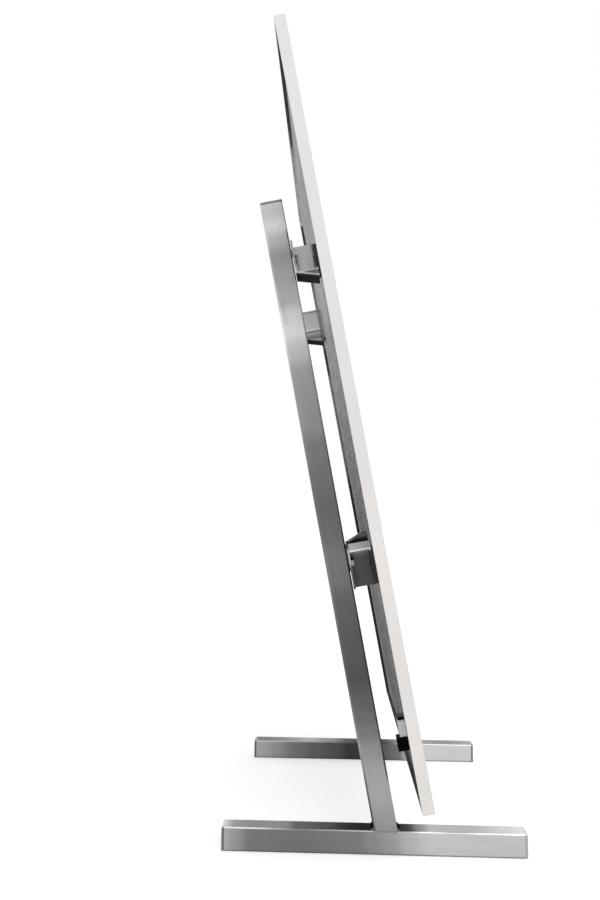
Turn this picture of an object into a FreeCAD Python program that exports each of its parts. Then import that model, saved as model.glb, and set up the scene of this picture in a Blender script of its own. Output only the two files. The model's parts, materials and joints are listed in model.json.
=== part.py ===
"""Tabletop easel: two welded stand frames that carry a white board on four hook brackets."""
import FreeCAD, Part
import math
import os

import Sketcher

os.makedirs("parts", exist_ok=True)
doc = FreeCAD.newDocument("TabletopEasel")
V = FreeCAD.Vector

# ---------------------------------------------------------------- driving sizes (mm, degrees)
SIZES = [
    # stand frames
    ("tube", 25, "side of the square tube"),
    ("tube_wall", 1.5, "wall of the square tube"),
    ("tube_corner", 2, "outer corner radius of the square tube"),
    ("foot_length", 320, "length of a foot over its end plates"),
    ("end_plate", 3, "thickness of the plates that close the tubes"),
    ("frame_spacing", 372, "distance between the two frames, centre to centre"),
    ("upright_setback", 160, "rear end of the foot to the rear edge of the upright, on the foot's top"),
    ("tilt", 10.8, "lean of the uprights and the board from the vertical"),
    ("upright_length", 688, "length of an upright over its top plate, along its rear face"),
    ("bead", 2.5, "leg of the weld bead at the foot of an upright"),
    # board
    ("board_width", 600, "width of the board"),
    ("board_height", 800, "height of the board, along its lean"),
    ("board_depth", 12, "thickness of the board over its rails"),
    ("board_rise", 39, "lower edge of the board above the foot, along the lean"),
    ("board_gap", 25, "front of the uprights to the back of the board's rails"),
    ("rail_lip", 4, "width of a rail seen from behind"),
    ("rail_recess", 4, "depth of the tray behind the back sheet"),
    ("rail_edge", 2.5, "thickness of a rail's outer edge"),
    ("rail_round", 1, "rounding of a rail's outer edges"),
    ("panel_fit", 0.1, "gap round the panel inside the rails"),
    ("back_skin", 0.6, "thickness of the back sheet"),
    ("face_skin", 0.8, "thickness of the face sheet"),
    ("key_side", 2, "side of a corner key's square bar"),
    ("key_leg", 22, "length of a corner key's leg"),
    ("key_inset", 1, "corner key to the rail's outer edge"),
    ("key_fit", 0.05, "gap round a corner key"),
    # hanging points
    ("plate_metal", 2, "sheet thickness of the brackets"),
    ("bracket_width", 35, "width of a bracket"),
    ("bracket_taper", 5, "corner taper at the free end of a bracket's rear plate"),
    ("upper_slant", 11, "slant of the free end of the upper front plates and pads, over their width"),
    ("lower_slant", 3.5, "slant of the free end of the lower front plates and pads, over their width"),
    ("hang_gap", 0.2, "running gap on each side of a bracket's rear plate"),
    ("lift_travel", 12, "lift that frees the board from its hanger screws"),
    ("nut_flange", 0.5, "thickness of a rivet nut's flange"),
    ("nut_flange_radius", 4.8, "radius of a rivet nut's flange"),
    ("nut_radius", 3.5, "radius of a rivet nut's body"),
    ("nut_body", 11, "length of a rivet nut's body behind its flange"),
    ("hanger_radius", 2.5, "radius of a hanger screw's thread"),
    ("hanger_thread", 9, "length of a hanger screw's thread"),
    ("collar_radius", 3.4, "radius of a hanger screw's collar"),
    ("hanger_head_radius", 4.9, "radius of a hanger screw's head"),
    ("hanger_head", 2.8, "height of a hanger screw's head"),
    ("socket_radius", 1.7, "corner radius of a screw's hexagon socket"),
    ("thread_fit", 0.05, "radial gap between a screw and its hole"),
    ("collar_fit", 0.1, "radial gap between a collar and its slot"),
    ("eye_fit", 0.6, "radial gap between a screw head and the wide end of the keyhole"),
    # bracket layout, each distance measured along the lean from its hanger screw
    ("upper_drop", 60, "upper hanger screws below the uprights' upper end"),
    ("upper_root", 28, "folded end of the left upper bracket, below its screw"),
    ("upper_root_right", 23.5, "folded end of the right upper bracket, below its screw"),
    ("upper_free", 12, "free end of the left upper bracket, above its screw"),
    ("upper_free_right", 20, "free end of the right upper bracket, above its screw"),
    ("upper_brace_rise", 0, "upper brace past the folded end, at the rear plate"),
    ("upper_brace_reach", 7, "upper brace's slope over the width of the gap"),
    ("lower_screw", 278, "height of the lower hanger screws along the uprights"),
    ("lower_root", 13, "folded end of the left lower bracket, above its screw"),
    ("lower_root_right", 11, "folded end of the right lower bracket, above its screw"),
    ("lower_free", 29, "free end of the lower bracket, below its screw"),
    ("lower_brace_rise", 10, "left lower brace past the folded end, at the rear plate"),
    ("lower_brace_rise_right", 0, "right lower brace past the folded end, at the rear plate"),
    ("lower_brace_reach", 10, "lower brace's slope over the width of the gap"),
    ("lower_lip", 7, "height of the gusset in the left lower bracket"),
    ("gusset_inset", 1, "gusset behind the open side of a bracket"),
    ("pad_depth", 3, "thickness of the rubber pads between the brackets and the board"),
    # bracket to board
    ("stud_radius", 2, "radius of a bracket screw's thread"),
    ("stud_head_radius", 3.8, "radius of a bracket screw's head"),
    ("stud_head", 1.4, "height of a bracket screw's head"),
    ("stud_pitch", 14, "distance between a bracket's two board screws"),
    ("stud_shift", 3, "bracket screws' shift towards the open side of the bracket"),
    ("anchor_width", 46, "width of an anchor plate in the board"),
    ("anchor_height", 30, "height of an anchor plate in the board"),
    ("anchor_depth", 3, "thickness of an anchor plate"),
    ("gasket_width", 1.6, "width of the gasket inside the rails"),
    ("gasket_sink", 0.4, "gasket below the back of the rails"),
    # buffer on the back of the board
    ("buffer_inset", 150, "centre of the buffer from the board's side edge"),
    ("buffer_rise", 25, "lower end of the buffer above the board's lower edge"),
    ("buffer_width", 20, "width of the buffer and its holder"),
    ("buffer_height", 15, "height of the black buffer"),
    ("buffer_depth", 12, "height of the buffer over the back sheet"),
    ("buffer_round", 1.5, "rounding of the buffer's corners"),
    ("holder_height", 19, "height of the light holder above the buffer"),
    ("holder_depth", 7.5, "height of the holder over the back sheet"),
    ("strip_height", 3, "height of the black strip above the holder"),
    ("tapper_radius", 1.25, "radius of the buffer's screws"),
    ("tapper_head_radius", 2.6, "radius of the heads of the buffer's screws"),
    ("tapper_head", 1.6, "height of the heads of the buffer's screws"),
    ("tapper_grip", 3, "depth of the buffer's screws in the board"),
]

sheet = doc.addObject("Spreadsheet::Sheet", "Sizes")
for row, (alias, value, meaning) in enumerate(SIZES, start=1):
    sheet.set("A%d" % row, meaning)
    sheet.set("B%d" % row, str(value))
    sheet.setAlias("B%d" % row, alias)

# Sizes that follow from the ones above.
DERIVED = [
    ("upper_screw", "=upright_length - upper_drop", "height of the upper hanger screws"),
    ("frame_x", "=frame_spacing / 2", "centre of a frame from the middle"),
    ("tube_out", "=frame_spacing / 2 + tube / 2", "outer face of a frame from the middle"),
    ("lean_y", "=foot_length / 2 - upright_setback", "rear edge of the uprights at the foot's top"),
    ("mitre", "=tube * tan(tilt * 1 deg)", "drop of the upright's cut end over its depth"),
    ("rail_back", "=tube + board_gap", "back of the rails from the uprights' rear face"),
    ("skin_back", "=tube + board_gap + rail_recess", "back sheet from the uprights' rear face"),
    ("core_back", "=tube + board_gap + rail_recess + back_skin", "back of the core"),
    ("face_back", "=tube + board_gap + board_depth - face_skin", "back of the face sheet"),
    ("plate_rear", "=tube + nut_flange + hang_gap", "rear of the brackets' rear plate"),
    ("plate_front", "=tube + nut_flange + hang_gap + plate_metal", "front of the rear plate"),
    ("pad_back", "=tube + board_gap + rail_recess - pad_depth", "front of the brackets' front plate"),
    ("slot_radius", "=collar_radius + collar_fit", "half width of a keyhole's slot"),
    ("eye_radius", "=hanger_head_radius + eye_fit", "radius of a keyhole's wide end"),
]
for row, (alias, formula, meaning) in enumerate(DERIVED, start=len(SIZES) + 2):
    sheet.set("A%d" % row, meaning)
    sheet.set("B%d" % row, formula)
    sheet.setAlias("B%d" % row, alias)
doc.recompute()

WORDS = sorted([r[0] for r in SIZES] + [r[0] for r in DERIVED], key=len, reverse=True)


def bound(expression):
    """The expression with every size name pointed at the spreadsheet."""
    out, i = "", 0
    while i < len(expression):
        word = next((w for w in WORDS if expression.startswith(w, i)), None)
        if word and not (i and (expression[i - 1].isalnum() or expression[i - 1] == "_")):
            out += "Sizes." + word
            i += len(word)
        else:
            out += expression[i]
            i += 1
    return out


def number(expression):
    value = sheet.evalExpression(bound(expression))
    return float(getattr(value, "Value", value))


def bind(obj, prop, expression):
    obj.setExpression(prop, bound(expression))


# ---------------------------------------------------------------- modelling helpers
# Leaning pieces are modelled upright: X across, Z up the lean, and the depth in front of the
# uprights' rear face along -Y. lean() then tips them back about that face's foot.

def body(name, leaning=True):
    made = doc.addObject("PartDesign::Body", name)
    made.Label = name
    if leaning:
        lean(made)
    return made


def lean(obj):
    obj.Placement = FreeCAD.Placement(V(0, number("lean_y"), number("tube")),
                                      FreeCAD.Rotation(V(-1, 0, 0), number("tilt")))
    bind(obj, "Placement.Base.y", "lean_y")
    bind(obj, "Placement.Base.z", "tube")
    bind(obj, "Placement.Rotation.Angle", "tilt")
    return obj


def sketch_on(owner, plane, offset, name):
    made = owner.newObject("Sketcher::SketchObject", name)
    origin_plane = next(f for f in owner.Origin.OriginFeatures if f.Role == plane)
    made.AttachmentSupport = [(origin_plane, "")]
    made.MapMode = "FlatFace"
    made.AttachmentOffset = FreeCAD.Placement(V(0, 0, number(offset)), FreeCAD.Rotation())
    bind(made, "AttachmentOffset.Base.z", offset)
    return made


def pin(sketch, kind, geo, end, expression, tag):
    """Hold a sketch point at a driven distance from the sketch's origin, along X or along Y."""
    index = sketch.addConstraint(Sketcher.Constraint(kind, -1, 1, geo, end, number(expression)))
    sketch.renameConstraint(index, tag)
    bind(sketch, "Constraints." + tag, expression)


def pin_point(sketch, geo, end, across, up, tag):
    pin(sketch, "DistanceX", geo, end, across, tag + "a")
    pin(sketch, "DistanceY", geo, end, up, tag + "b")


def outline(sketch, corners, arc_centre=None):
    """A closed outline through the (across, up) corners; its last side may be a quarter arc."""
    count = len(corners)
    spots = [V(number(a), number(b), 0) for a, b in corners]
    for i in range(count):
        side = Part.LineSegment(spots[i], spots[(i + 1) % count])
        if arc_centre and i == count - 1:
            middle = V(number(arc_centre[0]), number(arc_centre[1]), 0)
            radius = (spots[0] - middle).Length
            side = Part.ArcOfCircle(Part.Circle(middle, V(0, 0, 1), radius), math.pi / 2, math.pi)
        sketch.addGeometry(side, False)
    for i in range(count):
        sketch.addConstraint(Sketcher.Constraint("Coincident", i, 2, (i + 1) % count, 1))
    for i, (across, up) in enumerate(corners):
        pin_point(sketch, i, 1, across, up, "p%d" % i)
    if arc_centre:
        pin(sketch, "DistanceX", count - 1, 3, arc_centre[0], "middle")


def rectangle(left, right, low, high):
    return [(left, low), (right, low), (right, high), (left, high)]


def disc(sketch, across, up, radius):
    geo = sketch.addGeometry(
        Part.Circle(V(number(across), number(up), 0), V(0, 0, 1), number(radius)), False)
    pin_point(sketch, geo, 3, across, up, "c%d" % geo)
    index = sketch.addConstraint(Sketcher.Constraint("Radius", geo, number(radius)))
    sketch.renameConstraint(index, "r%d" % geo)
    bind(sketch, "Constraints.r%d" % geo, radius)


def feature(owner, kind, sketch, length):
    made = owner.newObject("PartDesign::" + kind, kind)
    made.Profile = sketch
    bind(made, "Length", length)
    made.Length = number(length)
    sketch.Visibility = False
    doc.recompute()
    return made


def pad(owner, plane, offset, corners, length):
    """Add a slab: the outline stands at the offset and grows along the plane's normal."""
    sketch = sketch_on(owner, plane, offset, "Profile")
    outline(sketch, corners)
    return feature(owner, "Pad", sketch, length)


def pocket(owner, plane, offset, corners, length):
    """Remove a slab that ends at the offset and reaches back against the plane's normal."""
    sketch = sketch_on(owner, plane, offset, "Cut")
    outline(sketch, corners)
    return feature(owner, "Pocket", sketch, length)


def bore(owner, plane, offset, spots, radius, length):
    sketch = sketch_on(owner, plane, offset, "Bores")
    for across, up in spots:
        disc(sketch, across, up, radius)
    return feature(owner, "Pocket", sketch, length)


def round_edges(owner, radius, wanted):
    """Round the edges of the body's last feature that the test picks."""
    base = owner.Tip
    names = ["Edge%d" % (i + 1) for i, e in enumerate(base.Shape.Edges) if wanted(e)]
    made = owner.newObject("PartDesign::Fillet", "Round")
    made.Base = (base, names)
    bind(made, "Radius", radius)
    made.Radius = number(radius)
    base.Visibility = False
    doc.recompute()
    return made


def runs_along(edge, axis, at_least=0.0):
    if len(edge.Vertexes) != 2 or edge.Length < at_least:
        return False
    step = edge.Vertexes[1].Point - edge.Vertexes[0].Point
    return abs(abs(getattr(step, axis)) - edge.Length) < 1e-6


def fused(name, pieces):
    made = doc.addObject("Part::MultiFuse", name)
    made.Shapes = pieces
    made.Label = name
    return made


def cut(name, base, tool):
    made = doc.addObject("Part::Cut", name)
    made.Base, made.Tool = base, tool
    made.Label = name
    return made


def group(name, pieces):
    made = doc.addObject("Part::Compound", name)
    made.Links = pieces
    made.Label = name
    return made


def mirrored(name, source):
    made = doc.addObject("Part::Mirroring", name)
    made.Source = source
    made.Base, made.Normal = V(0, 0, 0), V(1, 0, 0)
    made.Label = name
    return made


def rod(name, kind, radius, length, across, up, depth):
    """A round or six-sided bar that starts at a depth in front of the uprights' rear face."""
    made = doc.addObject("Part::" + kind, name)
    size = "Radius" if kind == "Cylinder" else "Circumradius"
    for prop, expression in ((size, radius), ("Height", length)):
        setattr(made, prop, number(expression))
        bind(made, prop, expression)
    made.Placement = FreeCAD.Placement(V(number(across), -number(depth), number(up)),
                                       FreeCAD.Rotation(V(1, 0, 0), 90))
    bind(made, "Placement.Base.x", across)
    bind(made, "Placement.Base.y", "-(" + depth + ")")
    bind(made, "Placement.Base.z", up)
    return made


nodes = []


def node(obj):
    nodes.append(obj)
    return obj


def both_sides(part_name, left):
    node(left)
    node(mirrored("right_" + part_name, left))


# ---------------------------------------------------------------- the two stand frames
TUBE_SECTION = rectangle("-tube_out", "tube - tube_out", "0", "tube")

foot = body("left_foot_tube", leaning=False)
pad(foot, "XZ_Plane", "end_plate - foot_length / 2", TUBE_SECTION, "foot_length - 2 * end_plate")
round_edges(foot, "tube_corner", lambda e: runs_along(e, "y"))
pocket(foot, "XZ_Plane", "foot_length / 2 - end_plate",
       rectangle("tube_wall - tube_out", "tube - tube_wall - tube_out", "tube_wall", "tube - tube_wall"),
       "foot_length - 2 * end_plate")
both_sides("foot_tube", foot)

for place, start in (("front", "foot_length / 2 - end_plate"), ("rear", "-foot_length / 2")):
    plate = body("left_foot_%s_plate" % place, leaning=False)
    pad(plate, "XZ_Plane", start, TUBE_SECTION, "end_plate")
    round_edges(plate, "tube_corner", lambda e: runs_along(e, "y"))
    both_sides("foot_%s_plate" % place, plate)

upright = body("left_upright_tube")
pad(upright, "YZ_Plane", "-tube_out",
    [("0", "0"), ("0", "upright_length - end_plate"), ("-tube", "upright_length - end_plate"),
     ("-tube", "-mitre")], "tube")
round_edges(upright, "tube_corner", lambda e: runs_along(e, "z", at_least=100))
pocket(upright, "XY_Plane", "upright_length - end_plate",
       rectangle("tube_wall - tube_out", "tube - tube_wall - tube_out", "tube_wall - tube", "-tube_wall"),
       "upright_length + tube")
bore(upright, "XZ_Plane", "tube", [("-frame_x", "upper_screw"), ("-frame_x", "lower_screw")],
     "nut_radius + thread_fit", "2 * tube_wall")
both_sides("upright_tube", upright)

cap = body("left_upright_cap")
pad(cap, "XY_Plane", "upright_length - end_plate",
    rectangle("-tube_out", "tube - tube_out", "-tube", "0"), "end_plate")
round_edges(cap, "tube_corner", lambda e: runs_along(e, "z"))
both_sides("upright_cap", cap)

SLOPE = {"c": "cos(tilt * 1 deg)", "s": "sin(tilt * 1 deg)"}
front_bead = body("left_front_bead")
pad(front_bead, "YZ_Plane", "tube_corner - tube_out",
    [("-tube", "-mitre"), ("-tube", "bead - mitre"),
     ("-tube - bead * %(c)s" % SLOPE, "-mitre - bead * %(s)s" % SLOPE)], "tube - 2 * tube_corner")
rear_bead = body("left_rear_bead")
pad(rear_bead, "YZ_Plane", "tube_corner - tube_out",
    [("0", "0"), ("bead * %(c)s" % SLOPE, "bead * %(s)s" % SLOPE), ("0", "bead")],
    "tube - 2 * tube_corner")

# The weld on the outer side is ground flush: it fills the groove over the foot's round corner.
side_bead = body("left_side_bead", leaning=False)
groove = sketch_on(side_bead, "XZ_Plane", "-lean_y", "Groove")
inside, crest = "tube_corner - tube_out", "tube - tube_corner"
outline(groove, [("-tube_out", crest), ("-tube_out", "tube"), (inside, "tube")], arc_centre=(inside, crest))
feature(side_bead, "Pad", groove, "tube / %(c)s" % SLOPE)
both_sides("weld_beads", group("left_weld_beads", [front_bead, rear_bead, side_bead]))

# ---------------------------------------------------------------- hanging points on the uprights
screws, nuts = [], []
for level in ("upper", "lower"):
    height = level + "_screw"
    nut_solid = fused(level + "_nut_solid", [
        rod(level + "_nut_flange", "Cylinder", "nut_flange_radius", "nut_flange", "-frame_x", height,
            "tube"),
        rod(level + "_nut_body", "Cylinder", "nut_radius", "nut_body", "-frame_x", height,
            "tube - nut_body")])
    nut_bore = rod(level + "_nut_bore", "Cylinder", "hanger_radius + thread_fit",
                   "nut_body + nut_flange", "-frame_x", height, "tube - nut_body")
    nut = lean(cut(level + "_rivet_nut", nut_solid, nut_bore))
    screw_solid = fused(level + "_screw_solid", [
        rod(level + "_thread", "Cylinder", "hanger_radius", "hanger_thread", "-frame_x", height,
            "tube + nut_flange - hanger_thread"),
        rod(level + "_collar", "Cylinder", "collar_radius", "plate_metal + 2 * hang_gap", "-frame_x",
            height, "tube + nut_flange"),
        rod(level + "_head", "Cylinder", "hanger_head_radius", "hanger_head", "-frame_x", height,
            "plate_front + hang_gap")])
    socket = rod(level + "_socket", "Prism", "socket_radius", "hanger_head", "-frame_x", height,
                 "plate_front + hang_gap + hanger_head / 2")
    screw = lean(cut(level + "_hanger_screw", screw_solid, socket))
    nuts += [nut, mirrored(level + "_rivet_nut_right", nut)]
    screws += [screw, mirrored(level + "_hanger_screw_right", screw)]
node(group("rivet_nuts", nuts))
node(group("hanger_screws", screws))

# ---------------------------------------------------------------- the four brackets
OUTER = "-frame_x - bracket_width / 2"
INNER = "-frame_x + bracket_width / 2"
STUDS_X = ["-frame_x - stud_shift - stud_pitch / 2", "-frame_x - stud_shift + stud_pitch / 2"]


def along(level, up, distance):
    """A height on the lean at a distance from a hanger screw, towards the bracket's folded end."""
    return "%s_screw %s (%s)" % (level, "+" if up > 0 else "-", distance)


def stud_height(level, up):
    return along(level, up, "(%s_root - %s_free) / 2" % (level, level))


def front_outline(level, up, root, free):
    """Outline of a bracket's front plate and of its pad, shorter on the open side."""
    return [(OUTER, along(level, up, root)), (INNER, along(level, up, root)),
            (INNER, along(level, up, "-" + free)),
            (OUTER, along(level, up, "-%s + %s_slant" % (free, level)))]


def make_bracket(name, level, up, root, free, rise, lip):
    """One bracket; up is +1 when its folded end is above its screw and -1 when it is below."""
    def at(distance):
        return along(level, up, distance)

    end, slope = "-" + free, level + "_brace_reach"
    crest = root + " + " + rise
    made = body(name)
    # rear plate, with its free corners tapered
    pad(made, "XZ_Plane", "plate_rear",
        [(OUTER, at(crest)), (INNER, at(crest)), (INNER, at(end + " + bracket_taper")),
         (INNER + " - bracket_taper", at(end)), (OUTER + " + bracket_taper", at(end)),
         (OUTER, at(end + " + bracket_taper"))], "plate_metal")
    # wall on the inner side, cut to the slope of the brace
    pad(made, "YZ_Plane", INNER + " - plate_metal",
        [("-plate_rear", at(end)), ("-plate_rear", at(crest)), ("-plate_front", at(crest)),
         ("-pad_back", at(crest + " + " + slope)), ("-pad_back", at(end))], "plate_metal")
    # front plate that lies on the rubber pad
    pad(made, "XZ_Plane", "pad_back - plate_metal", front_outline(level, up, root, free), "plate_metal")
    # shelf square to the plates
    low, high = (root + " - plate_metal", root) if up > 0 else (root, root + " - plate_metal")
    pad(made, "XZ_Plane", "plate_rear", rectangle(OUTER, INNER, at(low), at(high)),
        "pad_back - plate_rear")
    # brace that slopes from the rear plate to the pad
    pad(made, "YZ_Plane", OUTER,
        [("-plate_rear", at(crest + " - plate_metal")), ("-plate_rear", at(crest)),
         ("-plate_front", at(crest)), ("-pad_back", at(crest + " + " + slope)),
         ("-pad_back", at(crest + " - plate_metal + " + slope)),
         ("-plate_front", at(crest + " - plate_metal"))], "bracket_width")
    # gusset between shelf and brace, just inside the open side
    rear, front = (crest, crest + " + " + slope) if lip is None else (root + " + " + lip,) * 2
    pad(made, "YZ_Plane", OUTER + " + gusset_inset",
        [("-pad_back", at(root + " - plate_metal")), ("-plate_front", at(root + " - plate_metal")),
         ("-plate_front", at(rear)), ("-pad_back", at(front))], "plate_metal")
    # keyhole: narrow slot round the screw's collar, wide end below it
    height = level + "_screw"
    bore(made, "XZ_Plane", "plate_front", [("-frame_x", height)], "slot_radius", "plate_metal")
    pocket(made, "XZ_Plane", "plate_front",
           rectangle("-frame_x - slot_radius", "-frame_x + slot_radius", height + " - lift_travel",
                     height), "plate_metal")
    bore(made, "XZ_Plane", "plate_front", [("-frame_x", height + " - lift_travel")], "eye_radius",
         "plate_metal")
    bore(made, "XZ_Plane", "pad_back", [(x, stud_height(level, up)) for x in STUDS_X],
         "stud_radius + thread_fit", "plate_metal")
    return made


def make_pad(name, level, up, root, free):
    made = body(name)
    pad(made, "XZ_Plane", "pad_back", front_outline(level, up, root, free), "pad_depth")
    bore(made, "XZ_Plane", "skin_back", [(x, stud_height(level, up)) for x in STUDS_X],
         "stud_radius + thread_fit", "pad_depth")
    return made


LEVELS = (("upper", -1), ("lower", 1))
node(make_bracket("left_upper_bracket", "upper", -1, "upper_root", "upper_free", "upper_brace_rise", None))
node(mirrored("right_upper_bracket",
              make_bracket("upper_bracket", "upper", -1, "upper_root_right", "upper_free_right",
                           "upper_brace_rise", None)))
node(make_bracket("left_lower_bracket", "lower", 1, "lower_root", "lower_free", "lower_brace_rise",
                  "lower_lip"))
node(mirrored("right_lower_bracket",
              make_bracket("lower_bracket", "lower", 1, "lower_root_right", "lower_free",
                           "lower_brace_rise_right", None)))

pads = [
    make_pad("left_upper_pad", "upper", -1, "upper_root", "upper_free"),
    mirrored("right_upper_pad", make_pad("upper_pad", "upper", -1, "upper_root_right", "upper_free_right")),
    make_pad("left_lower_pad", "lower", 1, "lower_root", "lower_free"),
    mirrored("right_lower_pad", make_pad("lower_pad", "lower", 1, "lower_root_right", "lower_free"))]
node(group("bracket_pads", pads))

# ---------------------------------------------------------------- the board
LEFT, RIGHT = "-board_width / 2", "board_width / 2"
LOW, HIGH = "board_rise", "board_rise + board_height"
KEY_NEAR, KEY_FAR = "key_inset", "key_inset + key_leg"


def rail_outline(place, width):
    """A mitred strip along one side of the board."""
    if place == "left":
        return [(LEFT, LOW), (LEFT + " + " + width, LOW + " + " + width),
                (LEFT + " + " + width, HIGH + " - " + width), (LEFT, HIGH)]
    edge, sign = (LOW, "+") if place == "bottom" else (HIGH, "-")
    inner = "%s %s %s" % (edge, sign, width)
    return [(LEFT, edge), (RIGHT, edge), (RIGHT + " - " + width, inner), (LEFT + " + " + width, inner)]


def key_slots(place):
    """The two rectangles where corner keys enter a rail, with their clearance."""
    near, far = "key_inset - key_fit", "key_inset + key_leg + key_fit"
    thick = "key_inset + key_side + key_fit"
    if place == "left":
        return [rectangle("%s + %s" % (LEFT, near), "%s + %s" % (LEFT, thick),
                          "%s + %s" % (LOW, near), "%s + %s" % (LOW, far)),
                rectangle("%s + %s" % (LEFT, near), "%s + %s" % (LEFT, thick),
                          "%s - (%s)" % (HIGH, far), "%s - (%s)" % (HIGH, near))]
    edge, sign = (LOW, "+") if place == "bottom" else (HIGH, "-")
    band = sorted([near, thick], reverse=sign == "-", key=[near, thick].index)
    ups = ["%s %s (%s)" % (edge, sign, value) for value in band]
    return [rectangle("%s + %s" % (LEFT, near), "%s + %s" % (LEFT, far), ups[0], ups[1]),
            rectangle("%s - (%s)" % (RIGHT, far), "%s - (%s)" % (RIGHT, near), ups[0], ups[1])]


KEY_BACK = "rail_back + (rail_recess - key_side) / 2"


def make_rail(place):
    made = body("board_%s_rail" % place)
    pad(made, "XZ_Plane", "rail_back", rail_outline(place, "rail_lip"), "rail_recess")
    pad(made, "XZ_Plane", "skin_back", rail_outline(place, "rail_edge"), "board_depth - rail_recess")
    axis, line = ("z", number(LEFT)) if place == "left" else ("x", number(LOW if place == "bottom" else HIGH))
    depths = (number("rail_back"), number("rail_back + board_depth"))

    def outer(edge):
        spot = edge.Vertexes[0].Point
        across = spot.x if axis == "z" else spot.z
        return (runs_along(edge, axis, at_least=100) and abs(across - line) < 1e-6
                and min(abs(-spot.y - depth) for depth in depths) < 1e-6)

    round_edges(made, "rail_round", outer)
    for corners in key_slots(place):
        pocket(made, "XZ_Plane", KEY_BACK + " + key_side + key_fit", corners, "key_side + 2 * key_fit")
    return made


left_rail = make_rail("left")
node(left_rail)
node(mirrored("board_right_rail", left_rail))
for place in ("top", "bottom"):
    node(make_rail(place))

keys = []
for place, edge, sign in (("bottom", LOW, "+"), ("top", HIGH, "-")):
    key = body("%s_left_key" % place)
    corner = [(KEY_NEAR, KEY_NEAR), (KEY_FAR, KEY_NEAR), (KEY_FAR, "key_inset + key_side"),
              ("key_inset + key_side", "key_inset + key_side"), ("key_inset + key_side", KEY_FAR),
              (KEY_NEAR, KEY_FAR)]
    pad(key, "XZ_Plane", KEY_BACK,
        [("%s + %s" % (LEFT, a), "%s %s (%s)" % (edge, sign, b)) for a, b in corner], "key_side")
    keys += [key, mirrored("%s_right_key" % place, key)]
node(group("corner_keys", keys))

gasket = body("back_gasket")
pad(gasket, "XZ_Plane", "rail_back + gasket_sink",
    rectangle(LEFT + " + rail_lip", RIGHT + " - rail_lip", LOW + " + rail_lip", HIGH + " - rail_lip"),
    "rail_recess - gasket_sink")
pocket(gasket, "XZ_Plane", "skin_back",
       rectangle(LEFT + " + rail_lip + gasket_width", RIGHT + " - rail_lip - gasket_width",
                 LOW + " + rail_lip + gasket_width", HIGH + " - rail_lip - gasket_width"), "rail_recess")
node(gasket)

PANEL = rectangle(LEFT + " + rail_edge + panel_fit", RIGHT + " - rail_edge - panel_fit",
                  LOW + " + rail_edge + panel_fit", HIGH + " - rail_edge - panel_fit")
STUDS = [(x if side < 0 else "-(%s)" % x, stud_height(level, up))
         for level, up in LEVELS for x in STUDS_X for side in (-1, 1)]
BUFFER_X = "-board_width / 2 + buffer_inset"
BUFFER_SPLIT = "board_rise + buffer_rise + buffer_height"
TAPPERS = [(BUFFER_X, "board_rise + buffer_rise + buffer_height / 2"),
           (BUFFER_X, BUFFER_SPLIT + " + holder_height / 2")]
ANCHORS = [("%s * frame_x + %s * stud_shift" % (side, side), stud_height(level, up))
           for level, up in LEVELS for side in ("-1", "1")]

skin = body("board_back_sheet")
pad(skin, "XZ_Plane", "skin_back", PANEL, "back_skin")
bore(skin, "XZ_Plane", "core_back", STUDS, "stud_radius + thread_fit", "back_skin")
bore(skin, "XZ_Plane", "core_back", TAPPERS, "tapper_radius + thread_fit", "back_skin")
node(skin)

core = body("board_core")
pad(core, "XZ_Plane", "core_back", PANEL, "face_back - core_back")
for across, up in ANCHORS:
    pocket(core, "XZ_Plane", "core_back + anchor_depth",
           rectangle("%s - anchor_width / 2 - panel_fit" % across,
                     "%s + anchor_width / 2 + panel_fit" % across,
                     "%s - anchor_height / 2 - panel_fit" % up,
                     "%s + anchor_height / 2 + panel_fit" % up), "anchor_depth")
bore(core, "XZ_Plane", "core_back + tapper_grip", TAPPERS, "tapper_radius + thread_fit", "tapper_grip")
node(core)

face = body("board_face_sheet")
pad(face, "XZ_Plane", "face_back", PANEL, "face_skin")
node(face)

plates = []
for level, up in LEVELS:
    plate = body("%s_anchor" % level)
    across, rise = ANCHORS[0][0], stud_height(level, up)
    pad(plate, "XZ_Plane", "core_back",
        rectangle("%s - anchor_width / 2" % across, "%s + anchor_width / 2" % across,
                  "%s - anchor_height / 2" % rise, "%s + anchor_height / 2" % rise), "anchor_depth")
    bore(plate, "XZ_Plane", "core_back + anchor_depth", [(x, rise) for x in STUDS_X],
         "stud_radius + thread_fit", "anchor_depth")
    plates += [plate, mirrored("%s_anchor_right" % level, plate)]
node(group("anchor_plates", plates))

studs = []
for level, up in LEVELS:
    for number_in_pair, across in enumerate(STUDS_X, start=1):
        name = "%s_stud_%d" % (level, number_in_pair)
        rise = stud_height(level, up)
        solid = fused(name + "_solid", [
            rod(name + "_thread", "Cylinder", "stud_radius",
                "plate_metal + pad_depth + back_skin + anchor_depth", across, rise,
                "pad_back - plate_metal"),
            rod(name + "_head", "Cylinder", "stud_head_radius", "stud_head", across, rise,
                "pad_back - plate_metal - stud_head")])
        socket = rod(name + "_socket", "Prism", "socket_radius", "stud_head / 2", across, rise,
                     "pad_back - plate_metal - stud_head")
        stud = lean(cut(name, solid, socket))
        studs += [stud, mirrored(name + "_right", stud)]
node(group("bracket_screws", studs))

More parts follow.
